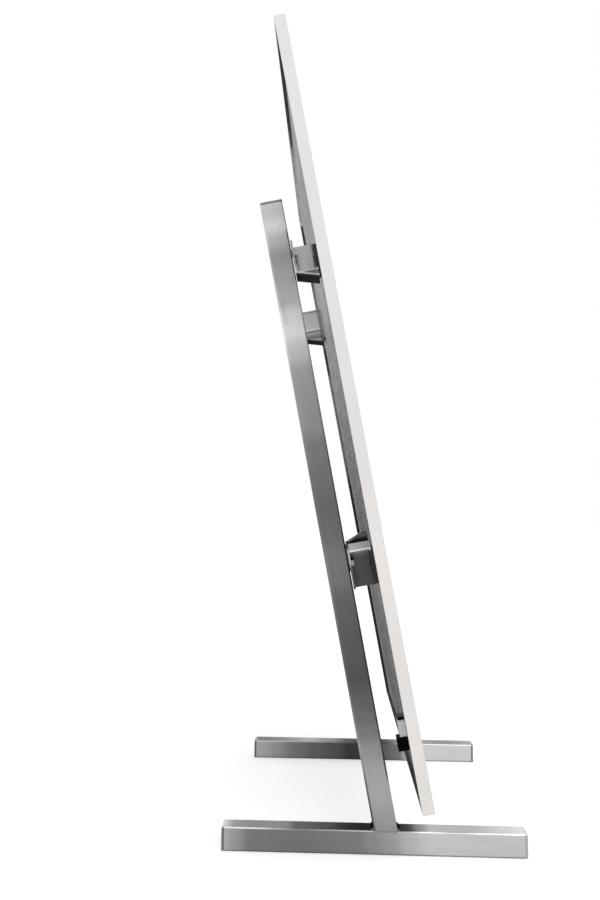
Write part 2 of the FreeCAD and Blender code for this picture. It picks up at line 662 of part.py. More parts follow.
# ---------------------------------------------------------------- buffer on the back of the board
for name, low, high, depth in (
        ("rubber_buffer", "board_rise + buffer_rise", BUFFER_SPLIT, "buffer_depth"),
        ("buffer_holder", BUFFER_SPLIT, BUFFER_SPLIT + " + holder_height", "holder_depth"),
        ("buffer_strip", BUFFER_SPLIT + " + holder_height",
         BUFFER_SPLIT + " + holder_height + strip_height", "holder_depth")):
    piece = body(name)
    pad(piece, "XZ_Plane", "skin_back - " + depth,
        rectangle(BUFFER_X + " - buffer_width / 2", BUFFER_X + " + buffer_width / 2", low, high), depth)
    if name == "buffer_strip":
        node(piece)
        continue
    round_edges(piece, "buffer_round", lambda e: runs_along(e, "y"))
    spot = [TAPPERS[0] if name == "rubber_buffer" else TAPPERS[1]]
    bore(piece, "XZ_Plane", "skin_back", spot, "tapper_radius + thread_fit", depth)
    bore(piece, "XZ_Plane", "skin_back - %s + 2 * tapper_head" % depth, spot,
         "tapper_head_radius + thread_fit", "2 * tapper_head")
    node(piece)

tappers = []
for (across, up), depth in zip(TAPPERS, ("buffer_depth", "holder_depth")):
    name = depth.split("_")[0] + "_tapper"
    seat = "skin_back - %s + 2 * tapper_head" % depth
    solid = fused(name + "_solid", [
        rod(name + "_thread", "Cylinder", "tapper_radius",
            depth + " - 2 * tapper_head + back_skin + tapper_grip", across, up, seat),
        rod(name + "_head", "Cylinder", "tapper_head_radius", "tapper_head", across, up,
            seat + " - tapper_head")])
    tappers.append(lean(cut(name, solid, rod(name + "_socket", "Prism", "socket_radius / 2",
                                             "tapper_head / 2", across, up,
                                             seat + " - tapper_head"))))
node(group("buffer_screws", tappers))

# ---------------------------------------------------------------- check and write
doc.recompute()
for obj in doc.Objects:
    if "Invalid" in obj.State or "Error" in obj.State:
        raise RuntimeError("%s is not valid: %s" % (obj.Name, obj.State))
for obj in nodes:
    shape = obj.Shape
    if shape.isNull() or not shape.isValid() or not shape.Solids:
        raise RuntimeError("%s has no valid solid" % obj.Label)
    shape.exportStep("parts/%s.step" % obj.Label)
    print("%-26s solids %d  volume %.0f mm3" % (obj.Label, len(shape.Solids), shape.Volume))
print("nodes", len(nodes))
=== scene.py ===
"""Looks of the tabletop easel: brushed steel frames, white board with a zinc back, studio light."""
import json
import math

import bpy
from mathutils import Euler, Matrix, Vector


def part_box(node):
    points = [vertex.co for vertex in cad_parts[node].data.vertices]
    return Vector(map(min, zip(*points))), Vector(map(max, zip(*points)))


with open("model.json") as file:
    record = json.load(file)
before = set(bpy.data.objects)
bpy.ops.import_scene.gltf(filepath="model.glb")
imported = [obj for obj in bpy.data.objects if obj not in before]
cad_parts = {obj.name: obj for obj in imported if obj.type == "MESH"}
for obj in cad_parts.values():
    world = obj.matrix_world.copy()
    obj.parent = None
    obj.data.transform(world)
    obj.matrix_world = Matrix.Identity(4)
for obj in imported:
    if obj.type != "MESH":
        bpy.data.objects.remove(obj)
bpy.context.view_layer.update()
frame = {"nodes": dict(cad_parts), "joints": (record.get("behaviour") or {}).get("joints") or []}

NODES = frame["nodes"]
SIDES = ("left", "right")
SLIDE = next(j for j in frame["joints"] if j["name"] == "board_lift")
LEAN_DIRECTION = Vector(SLIDE["axis"]).normalized()
LEAN = math.atan2(LEAN_DIRECTION.y, LEAN_DIRECTION.z)
TABLE_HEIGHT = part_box("left_foot_tube")[0].z

NOISE_MIDDLE = (0.3, 0.7)      # where most values of a noise lie
MOTTLE_MIDDLE = (0.35, 0.65)   # the narrower range over which a noise turns from one colour to another
MIDDLE_BAND = (-0.01, 0.01)    # across the easel: left-hand pieces lie below it, right-hand ones above


# ---------------------------------------------------------------- places and tones
# Bands are the start and end of a smooth change, in metres: up the lean from the table, in depth
# (further back is larger), or outwards from the middle of the easel.
BOARD_MIDDLE = 0.46            # up the lean
RAIL_INNER_DEPTH = (-0.0640, -0.0630)
# painted light: up the lean across this band the rails turn from lighter and warmer to plainer
RAIL_PAINTED_LIGHT_BAND = (0.20, 0.65)
# painted shade: the tone of the back lip and the inner edges of the rails
RAIL_PAINTED_SHADE = 0.03
ZINC_CALM_BAND = (0.70, 0.45)
ZINC_SPOTS = (0.35, 0.75)      # strength of the mottling, at the top and low down
GASKET_TOP_BAND = (0.8485, 0.8505)
LOW_TO_HIGH_BRACKETS = (0.40, 0.45)
LOW_TO_HIGH_UNDERSIDES = (0.45, 0.50)
WALL_BOARD_END = (-0.0510, -0.0545)
# painted shade on the bracket walls, towards the board
WALL_SHADES = (0.85, 0.45)     # of the lower and the upper brackets, towards the board
REAR_PLATE_FRONT = (-0.0333, -0.0329)
CLEAR_OF_REAR_PLATE = (-0.0322, -0.0326)
FRONT_PLATE_REAR = (-0.0532, -0.0538)
WALL_TO_GUSSET = (0.2021, 0.2023)
GUSSET_TO_EDGE = (0.2031, 0.2033)
# tone of the black painted shade under the brackets
BRACKET_SHADE_BLACK = 0.055
UPRIGHT_REAR_BAND = (-0.0078, -0.0052)
UPRIGHT_FRONT_BAND = (-0.0275, -0.0290)
# factors of the painted shade and the painted highlight on the front corner of the uprights
CORNER_PLAIN, CORNER_BRIGHT = 0.4, 3.2
# painted light on the rear edge of the uprights: the factor where its table reads 1.0
REAR_EDGE_LIGHT_FULL = 2.0           # the factor at 1.0 in REAR_EDGE_PAINTED_LIGHT
UPRIGHT_BRIGHTEST = 0.9
FOOT_UNDER_SHADE = 0.35
# painted light on the tops of the foot plates
NEAR_PLATE_TOP, FAR_PLATE_TOP = 0.66, 0.40
# painted shade in the weld fillets; the ground weld keeps the tube's tone
WELD_FILLET_SHADE, WELD_GROUND = 0.015, 0.21
SCREW_TONE, ANCHOR_TONE = 0.36, 0.42

# Stops are (metres, tone); the tones paint the light, reflections and shade on each piece. Uprights,
# brackets and the back sheet are measured up the lean, from the table, and feet along Y.
UPRIGHT_TONES = [
    (0.020, 0.26), (0.035, 0.28), (0.060, 0.32), (0.085, 0.30), (0.105, 0.245), (0.125, 0.165),
    (0.140, 0.13), (0.155, 0.107), (0.180, 0.078), (0.215, 0.088), (0.260, 0.11), (0.290, 0.16),
    (0.312, 0.17), (0.335, 0.145), (0.365, 0.135), (0.400, 0.165), (0.430, 0.19),
    (0.460, 0.265), (0.490, 0.28), (0.515, 0.30), (0.540, 0.45), (0.562, 0.60), (0.580, 0.52),
    (0.598, 0.35), (0.625, 0.28), (0.648, 0.23), (0.668, 0.34), (0.684, 0.48), (0.700, 0.40),
    (0.712, 0.44)]
# Painted light and shade on the rear edge of the uprights, up the lean.
REAR_EDGE_PAINTED_LIGHT = [
    (0.02, 0.10), (0.070, 0.10), (0.090, 0.36), (0.115, 0.75), (0.26, 0.75), (0.34, 0.50),
    (0.66, 0.50), (0.69, 0.37), (0.712, 0.37)]
# Painted highlight on the front corner of the uprights where 1, painted shade beside the brackets where
# 0.
FRONT_CORNER_PAINTED_LIGHT = [
    (0.02, 0.2), (0.09, 0.2), (0.115, 1.0), (0.265, 1.0), (0.280, 0.0), (0.325, 0.0), (0.335, 1.0),
    (0.615, 1.0), (0.628, 0.0), (0.672, 0.0), (0.682, 1.0)]
NEAR_FOOT_SIDE = [
    (-0.160, 0.46), (-0.130, 0.46), (-0.060, 0.48), (-0.036, 0.40), (-0.020, 0.30), (0.000, 0.235),
    (0.020, 0.18), (0.080, 0.163), (0.130, 0.175), (0.145, 0.28), (0.158, 0.38)]
NEAR_FOOT_TOP = [
    (-0.160, 0.88), (-0.140, 0.75), (-0.100, 0.52), (-0.062, 0.54), (-0.048, 0.29), (-0.036, 0.054),
    (-0.022, 0.014), (0.030, 0.014), (0.050, 0.061), (0.080, 0.104), (0.095, 0.275), (0.130, 0.27),
    (0.145, 0.32), (0.158, 0.64)]
NEAR_FOOT_CREST = [
    (-0.160, 0.86), (-0.110, 0.61), (-0.090, 0.39), (-0.045, 0.72), (-0.030, 0.76), (-0.015, 0.17),
    (0.000, 0.42), (0.080, 0.22), (0.100, 0.42), (0.120, 0.72), (0.140, 0.86), (0.158, 0.86)]
FAR_FOOT_SIDE = [
    (-0.160, 0.53), (-0.120, 0.53), (-0.095, 0.55), (-0.070, 0.48), (-0.050, 0.15), (-0.030, 0.11),
    (-0.020, 0.10), (0.000, 0.05), (0.020, 0.05), (0.040, 0.09), (0.070, 0.12), (0.100, 0.17),
    (0.130, 0.28), (0.143, 0.335), (0.158, 0.36)]
FAR_FOOT_TOP = [
    (-0.160, 0.46), (-0.120, 0.31), (-0.070, 0.43), (-0.050, 0.25), (-0.030, 0.026), (0.020, 0.026),
    (0.050, 0.28), (0.080, 0.48), (0.120, 0.26), (0.145, 0.19), (0.158, 0.19)]
FAR_FOOT_CREST = [
    (-0.160, 0.60), (-0.060, 0.55), (-0.040, 0.24), (-0.020, 0.18), (0.020, 0.30), (0.060, 0.45),
    (0.158, 0.52)]
NEAR_PLATE_TONES = [(-0.16, 0.36), (0.16, 0.16)]
FAR_PLATE_TONES = [(-0.16, 0.20), (0.16, 0.12)]
CAP_TONES = [(0.700, 0.46), (0.7090, 0.46), (0.7100, 0.20), (0.720, 0.20)]
BRACKET_WALL_TONES = [
    (0.20, 0.09), (0.305, 0.10), (0.3095, 0.16), (0.3125, 0.38), (0.3150, 0.38), (0.3165, 0.04),
    (0.3230, 0.04), (0.3262, 0.07), (0.3280, 0.34), (0.3300, 0.40), (0.3320, 0.14), (0.45, 0.14),
    (0.55, 0.85), (0.6240, 0.85), (0.6280, 0.52), (0.70, 0.56)]
RIGHT_WALL_TONES = [
    (0.20, 0.12), (0.45, 0.30), (0.6255, 0.30), (0.6275, 0.50), (0.6290, 0.12), (0.6310, 0.24),
    (0.6350, 0.34), (0.6375, 0.56), (0.6390, 0.20), (0.6405, 0.30), (0.6425, 0.85), (0.6445, 0.54),
    (0.6680, 0.54), (0.6694, 0.20), (0.6706, 0.20), (0.6722, 0.86)]
BRACKET_GUSSET_TONES = [(0.25, 0.42), (0.45, 0.42), (0.50, 0.20), (0.70, 0.20)]
BRACKET_EDGE_TONES = [
    (0.25, 0.36), (0.3120, 0.42), (0.3130, 0.86), (0.3162, 0.86), (0.3172, 0.10), (0.40, 0.10),
    (0.45, 0.48), (0.70, 0.48)]
BRACKET_ROOT_TONES = [
    (0.25, 0.10), (0.295, 0.10), (0.305, 0.45), (0.3165, 0.45), (0.3175, 0.05), (0.40, 0.05),
    (0.45, 0.02), (0.6225, 0.02), (0.6245, 0.48), (0.6290, 0.48), (0.6340, 0.28), (0.70, 0.28)]
BRACKET_FRONT_TONES = [
    (0.25, 0.05), (0.3122, 0.06), (0.3132, 0.80), (0.3162, 0.80), (0.3172, 0.30), (0.40, 0.30),
    (0.45, 0.60), (0.6262, 0.60), (0.6275, 0.05), (0.70, 0.05)]
# painted shade on the black screws, darkest low down
BLACK_AND_SHADE_TONES = [(0.25, 0.06), (0.45, 0.06), (0.50, 0.22), (0.70, 0.22)]
# painted reflections and shade on the back sheet, up the lean
ZINC_TONES = [
    (0.06, 0.13), (0.12, 0.06), (0.20, 0.08), (0.27, 0.105), (0.33, 0.05), (0.39, 0.10),
    (0.46, 0.145), (0.55, 0.23), (0.65, 0.34), (0.75, 0.26), (0.86, 0.31)]
# painted light and shade on the gasket, up the lean and, along the top, across the board
GASKET_UP_TONES = [
    (0.05, 0.03), (0.25, 0.02), (0.35, 0.014), (0.40, 0.02), (0.44, 0.24), (0.58, 0.30),
    (0.60, 0.03), (0.63, 0.03), (0.65, 0.30), (0.72, 0.30), (0.77, 0.04), (0.84, 0.035)]
GASKET_TOP_TONES = [
    (-0.30, 0.05), (-0.15, 0.025), (-0.08, 0.03), (-0.02, 0.12), (0.04, 0.60), (0.30, 0.62)]


# ---------------------------------------------------------------- material building blocks
class Surface:
    """A material with one Principled shader, and short calls that add nodes to it."""

    def __init__(self, name):
        self.material = bpy.data.materials.new(name)
        self.material.use_nodes = True
        self.tree = self.material.node_tree
        self.shader = self.tree.nodes["Principled BSDF"]
        self.place = self.add("ShaderNodeTexCoord").outputs["Object"]

    def add(self, kind, **values):
        made = self.tree.nodes.new(kind)
        for key, value in values.items():
            setattr(made, key, value)
        return made

    def link(self, source, target):
        self.tree.links.new(source, target)

    def feed(self, source, target):
        """Give a socket a plain number, or link it to another node."""
        if isinstance(source, (int, float)):
            target.default_value = source
        else:
            self.link(source, target)

    def fix(self, **values):
        for key, value in values.items():
            self.shader.inputs[key.replace("_", " ")].default_value = value

    def turned(self, angle):
        """Object coordinates with the lean taken out, so that Z runs up the lean."""
        node = self.add("ShaderNodeMapping")
        node.inputs["Rotation"].default_value = (angle, 0, 0)
        self.link(self.place, node.inputs["Vector"])
        return node.outputs["Vector"]

    def stretched(self, vector, scale):
        node = self.add("ShaderNodeMapping")
        node.inputs["Scale"].default_value = scale
        self.link(vector, node.inputs["Vector"])
        return node.outputs["Vector"]

    def noise(self, vector, scale, detail):
        """A value that wanders about 0.5; the scale is in waves per metre."""
        node = self.add("ShaderNodeTexNoise")
        node.inputs["Scale"].default_value = scale
        node.inputs["Detail"].default_value = detail
        node.inputs["Roughness"].default_value = 0.55
        self.link(vector, node.inputs["Vector"])
        return node.outputs["Fac"]

    def grain(self, vector, scales, detail):
        """A noise with its own number of waves per metre on each axis."""
        return self.noise(self.stretched(vector, scales), scale=1.0, detail=detail)

    def cells(self, vector, scales):
        """Three random values for each crystal."""
        node = self.add("ShaderNodeTexVoronoi")
        node.inputs["Scale"].default_value = 1.0
        self.link(self.stretched(vector, scales), node.inputs["Vector"])
        split = self.add("ShaderNodeSeparateColor")
        self.link(node.outputs["Color"], split.inputs["Color"])
        return [split.outputs[name] for name in ("Red", "Green", "Blue")]

    def calculated(self, operation, *values):
        node = self.add("ShaderNodeMath", operation=operation)
        for socket, value in zip(node.inputs, values):
            self.feed(value, socket)
        return node.outputs[0]

    def times(self, first, second):
        return self.calculated("MULTIPLY", first, second)

    def mixed(self, weights):
        """The weighted sum of several values."""
        parts = [self.times(value, weight) for value, weight in weights]
        total = parts[0]
        for part in parts[1:]:
            total = self.calculated("ADD", total, part)
        return total

    def part(self, vector, axis):
        """One coordinate of a vector."""
        node = self.add("ShaderNodeSeparateXYZ")
        self.link(vector, node.inputs[0])
        return node.outputs[axis]

    def facing(self, axis):
        """How far the surface faces along one axis, from -1 to 1."""
        return self.part(self.add("ShaderNodeNewGeometry").outputs["Normal"], axis)

    def right_hand(self):
        """0 on pieces of the left-hand frame, 1 on those of the right-hand one."""
        return self.step(self.part(self.place, "X"), *MIDDLE_BAND)

    def map_range(self, value, start, end, low, high, **values):
        node = self.add("ShaderNodeMapRange", **values)
        for name, number in (("From Min", start), ("From Max", end), ("To Min", low), ("To Max", high)):
            node.inputs[name].default_value = number
        self.link(value, node.inputs["Value"])
        return node.outputs["Result"]

    def spread(self, value, low, high):
        """The middle range of a noise, stretched to low..high."""
        return self.map_range(value, *NOISE_MIDDLE, low, high)

    def step(self, value, start, end):
        """0 at the start and 1 at the end, smooth between; it may also run downwards."""
        return self.map_range(value, start, end, 0.0, 1.0, interpolation_type="SMOOTHSTEP")

    def blend(self, factor, first, second):
        """first where the factor is 0, second where it is 1."""
        node = self.add("ShaderNodeMix", data_type="FLOAT")
        for place, value in ((0, factor), (2, first), (3, second)):
            self.feed(value, node.inputs[place])
        return node.outputs[0]

    def ramp(self, value, stops, between="LINEAR"):
        node = self.add("ShaderNodeValToRGB")
        node.color_ramp.interpolation = between
        elements = node.color_ramp.elements
        while len(elements) < len(stops):
            elements.new(0.5)
        for element, (place, tone) in zip(elements, stops):
            element.position = place
            element.color = (*tone, 1) if isinstance(tone, tuple) else (tone, tone, tone, 1)
        self.link(value, node.inputs["Fac"])
        return node.outputs["Color"]

    def mottled(self, noise, first, second):
        """One colour where the noise is low, another where it is high."""
        return self.ramp(noise, list(zip(MOTTLE_MIDDLE, (first, second))))

    def profile(self, value, stops):
        """A tone that follows (metres, tone) stops along one coordinate."""
        low, high = stops[0][0], stops[-1][0]
        share = self.map_range(value, low, high, 0.0, 1.0)
        return self.ramp(share, [((place - low) / (high - low), tone) for place, tone in stops], "EASE")

    def bump(self, height, distance, strength):
        node = self.add("ShaderNodeBump")
        node.inputs["Strength"].default_value = strength
        node.inputs["Distance"].default_value = distance
        self.link(height, node.inputs["Height"])
        self.link(node.outputs["Normal"], self.shader.inputs["Normal"])

    def colour(self, output):
        self.link(output, self.shader.inputs["Base Color"])

    def rough(self, output):
        self.link(output, self.shader.inputs["Roughness"])

    def wear(self, *node_names):
        for name in node_names:
            slots = NODES[name].data.materials
            slots.clear()
            slots.append(self.material)


def brushed_steel(name, along, tone_of, turn=0.0, edge_tint=1.0):
    """Steel brushed along one axis: the painted light and shade of the place, fine scratches, streaks
    and soft clouds.
    """
    made = Surface(name)
    base = made.turned(turn) if turn else made.place

    def lines(across, lengthways, detail):
        scales = [lengthways if axis == along else across for axis in "XYZ"]
        return made.grain(base, scales, detail)

    scratches = lines(across=2600, lengthways=30, detail=2.0)
    streaks = lines(across=500, lengthways=7, detail=3.0)
    clouds = lines(across=40, lengthways=12, detail=2.0)
    unevenness = made.mixed([(scratches, 0.45), (streaks, 0.3), (clouds, 0.25)])
    made.colour(made.times(tone_of(made, base), made.spread(unevenness, low=0.86, high=1.14)))
    made.rough(made.spread(made.mixed([(scratches, 0.5), (clouds, 0.5)]), low=0.24, high=0.38))
    made.bump(scratches, distance=0.00002, strength=0.4)
    made.fix(Metallic=1.0, Anisotropic=0.6, Specular_Tint=(edge_tint, edge_tint, edge_tint, 1))
    tangent = made.add("ShaderNodeTangent", direction_type="RADIAL", axis=along)
    made.link(tangent.outputs["Tangent"], made.shader.inputs["Tangent"])
    return made


def white_paint(made, tint):
    """Paint with soft patches of a slightly darker tint; gives its colour and the patches' value."""
    patches = made.noise(made.place, scale=14, detail=3.0)
    peel = made.noise(made.place, scale=900, detail=2.0)
    made.bump(peel, distance=0.00003, strength=0.4)
    return made.mottled(patches, tuple(0.965 * part for part in tint), tint), patches


def painted_white(name, tint, roughness):
    made = Surface(name)
    paint, patches = white_paint(made, tint)
    made.colour(paint)
    made.rough(made.spread(patches, low=roughness - 0.05, high=roughness + 0.05))
    made.fix(Specular_IOR_Level=0.4)
    return made


def rail_paint(name, low_tint, high_tint, roughness):
    """Matt white paint with painted light and shade: lighter and warmer low down, painted dark on the
    back lip and the inner edges.
    """
    made = Surface(name)
    paint, patches = white_paint(made, (1, 1, 1))
    made.rough(made.spread(patches, low=roughness - 0.05, high=roughness + 0.05))
    made.fix(Specular_IOR_Level=0.2)
    base = made.turned(LEAN)
    up, depth = made.part(base, "Z"), made.part(base, "Y")
    lip = made.step(made.facing("Y"), 0.970, 0.980)
    # An inner edge faces the middle of the board, so its normal points against its own place.
    across = made.times(made.facing("X"), made.part(made.place, "X"))
    along = made.times(made.facing("Z"), made.calculated("SUBTRACT", up, BOARD_MIDDLE))
    inward = made.calculated("MAXIMUM", made.step(across, -0.10, -0.20), made.step(along, -0.15, -0.25))
    inner = made.times(inward, made.step(depth, *RAIL_INNER_DEPTH))
    # Painted shade: the back lip and the inner edges are painted dark.
    painted_shade_edges = made.calculated("MAXIMUM", lip, inner)
    # Painted light: the rails are lighter and warmer low down.
    painted_warm_light = made.ramp(made.step(up, *RAIL_PAINTED_LIGHT_BAND), [(0.0, low_tint), (1.0, high_tint)])
    tinted = made.add("ShaderNodeVectorMath", operation="MULTIPLY")
    made.link(paint, tinted.inputs[0])
    made.link(painted_warm_light, tinted.inputs[1])
    tone = made.add("ShaderNodeVectorMath", operation="SCALE")
    made.link(tinted.outputs["Vector"], tone.inputs[0])
    made.link(made.blend(painted_shade_edges, 1.0, RAIL_PAINTED_SHADE), tone.inputs["Scale"])
    made.colour(tone.outputs["Vector"])
    return made


def zinc_sheet(name):
    """Rolled zinc sheet: grain across the board, faint crystals, paler towards the top as painted
    reflection and shade.
    """
    made = Surface(name)
    base = made.turned(LEAN)
    up = made.part(base, "Z")
    grain = made.grain(base, (20, 20, 620), detail=2.0)
    blotches = made.grain(base, (9, 9, 60), detail=3.0)
    shade, gloss, height = made.cells(base, (34, 34, 560))
    mottle = made.mixed([(grain, 0.45), (blotches, 0.1), (shade, 0.45)])
    strength = made.blend(made.step(up, *ZINC_CALM_BAND), *ZINC_SPOTS)
    spots = made.calculated("ADD", made.times(made.spread(mottle, low=-0.9, high=0.9), strength), 1.0)
    # Painted reflection and shade: the tone of the sheet follows its height.
    made.colour(made.times(made.profile(up, ZINC_TONES), spots))
    made.rough(made.spread(gloss, low=0.50, high=0.65))
    made.bump(made.mixed([(height, 0.4), (grain, 0.6)]), distance=0.00006, strength=0.5)
    made.fix(Metallic=0.3, Specular_IOR_Level=0.15)
    return made


def bracket_sheet(name):
    """Satin sheet steel with painted light: painted highlights on the cut edges, painted shade near the
    board and low down, black painted shade underneath.
    """
    made = Surface(name)
    base = made.turned(LEAN)
    up, depth = made.part(base, "Z"), made.part(base, "Y")
    out = made.calculated("ABSOLUTE", made.part(base, "X"))
    lines = made.grain(base, (1500, 1500, 40), detail=2.0)
    clouds = made.noise(made.place, scale=60, detail=3.0)

    # Painted shade on the walls towards the board, stronger on the upper brackets.
    shade = made.blend(made.step(up, *LOW_TO_HIGH_BRACKETS), *WALL_SHADES)
    shade = made.blend(made.step(depth, *WALL_BOARD_END), 1.0, shade)
    wall = made.blend(made.right_hand(), made.profile(up, BRACKET_WALL_TONES),
                      made.profile(up, RIGHT_WALL_TONES))
    rear_plate = made.step(depth, *REAR_PLATE_FRONT)
    # Painted highlights and shade on the cut edges of the plates, by height.
    edge = made.blend(made.step(depth, *FRONT_PLATE_REAR), made.profile(up, BRACKET_EDGE_TONES),
                      made.profile(up, BRACKET_FRONT_TONES))
    edge = made.blend(rear_plate, edge, made.profile(up, BRACKET_ROOT_TONES))
    tone = made.blend(made.step(out, *WALL_TO_GUSSET), made.times(wall, shade),
                      made.profile(up, BRACKET_GUSSET_TONES))
    tone = made.blend(made.step(out, *GUSSET_TO_EDGE), tone, edge)

    # Painted shade: the black underneath leaves the rear plates of the lower brackets bright.
    underside_shade_area = made.calculated("MAXIMUM", made.step(up, *LOW_TO_HIGH_UNDERSIDES),
                                made.step(depth, *CLEAR_OF_REAR_PLATE))
    under = made.times(made.step(made.facing("Z"), -0.2, -0.5), underside_shade_area)
    root = made.times(made.step(made.facing("Y"), -0.6, -0.8), rear_plate)
    # Painted shade: faces turned down and the rear plate's face towards the board are painted black and
    # lose their metal.
    black = made.calculated("MAXIMUM", under, root)
    unevenness = made.spread(made.mixed([(lines, 0.4), (clouds, 0.6)]), low=0.84, high=1.16)
    made.colour(made.times(made.blend(black, tone, BRACKET_SHADE_BLACK), unevenness))
    made.rough(made.spread(clouds, low=0.28, high=0.42))
    made.bump(lines, distance=0.00002, strength=0.5)
    made.link(made.blend(black, 1.0, 0.0), made.shader.inputs["Metallic"])
    made.fix(Specular_IOR_Level=0.0, Specular_Tint=(0.5, 0.5, 0.5, 1))
    return made


def turned_steel(name, tone_of):
    """Bright steel, or black steel with painted shade, turned round."""
    made = Surface(name)
    turning = made.noise(made.place, scale=1800, detail=2.0)
    made.colour(made.times(tone_of(made, made.turned(LEAN)), made.spread(turning, low=0.85, high=1.15)))
    made.rough(made.spread(turning, low=0.18, high=0.3))
    made.fix(Metallic=1.0)
    return made


def rubber_grain(made):
    """A fine even grain, which also roughens the surface."""
    grain = made.noise(made.place, scale=2200, detail=3.0)
    made.rough(made.spread(grain, low=0.55, high=0.75))
    made.bump(grain, distance=0.00008, strength=0.6)
    return grain


def rubber(name, dark, light, upper_tone=None):
    """Matt rubber, which may be given a tone of its own for its upper faces."""
    made = Surface(name)
    grain = rubber_grain(made)
    black = made.mottled(grain, dark, light)
    if upper_tone is not None:
        upper_faces = made.spread(grain, low=0.8 * upper_tone, high=1.2 * upper_tone)
        black = made.blend(made.step(made.facing("Z"), 0.6, 0.9), black, upper_faces)
    made.colour(black)
    made.fix(Specular_IOR_Level=0.05)
    return made


def bracket_pad_rubber(name, dark, light, right_lit_dark, right_lit_light):
    """Reddish black rubber, painted grey as light on the right-hand frame."""
    made = Surface(name)
    grain = rubber_grain(made)
    node = made.add("ShaderNodeMix", data_type="RGBA")
    # Painted light: the pads of the right-hand frame are painted grey.
    made.link(made.right_hand(), node.inputs[0])
    made.link(made.mottled(grain, dark, light), node.inputs[6])
    made.link(made.mottled(grain, right_lit_dark, right_lit_light), node.inputs[7])
    made.colour(node.outputs[2])
    return made


def gasket_light_and_shade(name):
    """Dark gasket, a dark strip for the shade in the recess; paler in places as painted light."""
    made = Surface(name)
    base = made.turned(LEAN)
    up, across = made.part(base, "Z"), made.part(base, "X")
    # Painted light and shade: the tone follows the height, and across the board along the top.
    tone = made.blend(made.step(up, *GASKET_TOP_BAND), made.profile(up, GASKET_UP_TONES),
                      made.profile(across, GASKET_TOP_TONES))
    grain = made.grain(base, (60, 60, 400), detail=3.0)
    made.colour(made.times(tone, made.spread(grain, low=0.7, high=1.3)))
    made.rough(made.spread(grain, low=0.6, high=0.8))
    made.bump(grain, distance=0.00008, strength=0.6)
    return made


def light_plastic(name):
    """Pale plastic with a silver lustre."""
    made = Surface(name)
    grain = made.noise(made.place, scale=1600, detail=2.0)
    made.colour(made.mottled(grain, 0.90, 0.95))
    made.rough(made.spread(grain, low=0.42, high=0.55))
    made.bump(grain, distance=0.00004, strength=0.4)
    made.fix(Metallic=0.85)
    return made


def fibreboard(name, dark, light):
    made = Surface(name)
    fibres = made.grain(made.place, (900, 900, 300), detail=4.0)
    made.colour(made.ramp(fibres, list(zip(NOISE_MIDDLE, (dark, light)))))
    made.rough(made.spread(fibres, low=0.75, high=0.9))
    made.bump(fibres, distance=0.0001, strength=0.5)
    return made


# ---------------------------------------------------------------- tones of the steel: painted light and shade
def upright_tone(made, base):
    """Painted reflections and shade by height, with a painted highlight on the front corner away from
    the brackets and painted light on the rear edge.
    """
    up, depth = made.part(base, "Z"), made.part(base, "Y")
    rear_tone = made.times(made.profile(up, REAR_EDGE_PAINTED_LIGHT), REAR_EDGE_LIGHT_FULL)
    front_tone = made.blend(made.profile(up, FRONT_CORNER_PAINTED_LIGHT), CORNER_PLAIN, CORNER_BRIGHT)
    edges = made.times(made.blend(made.step(depth, *UPRIGHT_REAR_BAND), 1.0, rear_tone),
                       made.blend(made.step(depth, *UPRIGHT_FRONT_BAND), 1.0, front_tone))
    tone = made.times(made.profile(up, UPRIGHT_TONES), edges)
    return made.calculated("MINIMUM", tone, UPRIGHT_BRIGHTEST)


def foot_tone(side_tones, top_tones, crest_tones):
    """Painted light on a foot: its side and top, a painted highlight along the edge between them,
    painted shade on the lower edge.
    """
    def tone_of(made, base):
        along = made.part(base, "Y")
        side, top = made.profile(along, side_tones), made.profile(along, top_tones)
        crest = made.profile(along, crest_tones)
        upward = made.facing("Z")
        flat = made.blend(made.step(upward, 0.7, 0.95), side, top)
        rounded = made.times(made.step(upward, 0.15, 0.45), made.step(upward, 0.97, 0.8))
        lower = made.blend(made.step(upward, -0.10, -0.45), 1.0, FOOT_UNDER_SHADE)
        return made.times(made.blend(rounded, flat, crest), lower)
    return tone_of


def foot_plate_tone(made, base):
    """Painted light: dark on the sides and bright on top; the right-hand foot is painted darker."""
    along, right = made.part(base, "Y"), made.right_hand()
    side = made.blend(right, made.profile(along, NEAR_PLATE_TONES),
                      made.profile(along, FAR_PLATE_TONES))
    top = made.blend(right, NEAR_PLATE_TOP, FAR_PLATE_TOP)
    return made.blend(made.step(made.facing("Z"), 0.5, 0.8), side, top)


def weld_tone(made, base):
    """As bright as the tube where the weld is ground flush, painted shade in the fillets in front and
    behind.
    """
    sideways = made.calculated("ABSOLUTE", made.facing("X"))
    return made.blend(made.step(sideways, 0.7, 0.9), WELD_FILLET_SHADE, WELD_GROUND)


def up_the_lean(tones):
    return lambda made, base: made.profile(made.part(base, "Z"), tones)


def even(tone):
    return lambda made, base: tone


# ---------------------------------------------------------------- finishes of the CAD pieces
def both(piece):
    return ["%s_%s" % (side, piece) for side in SIDES]


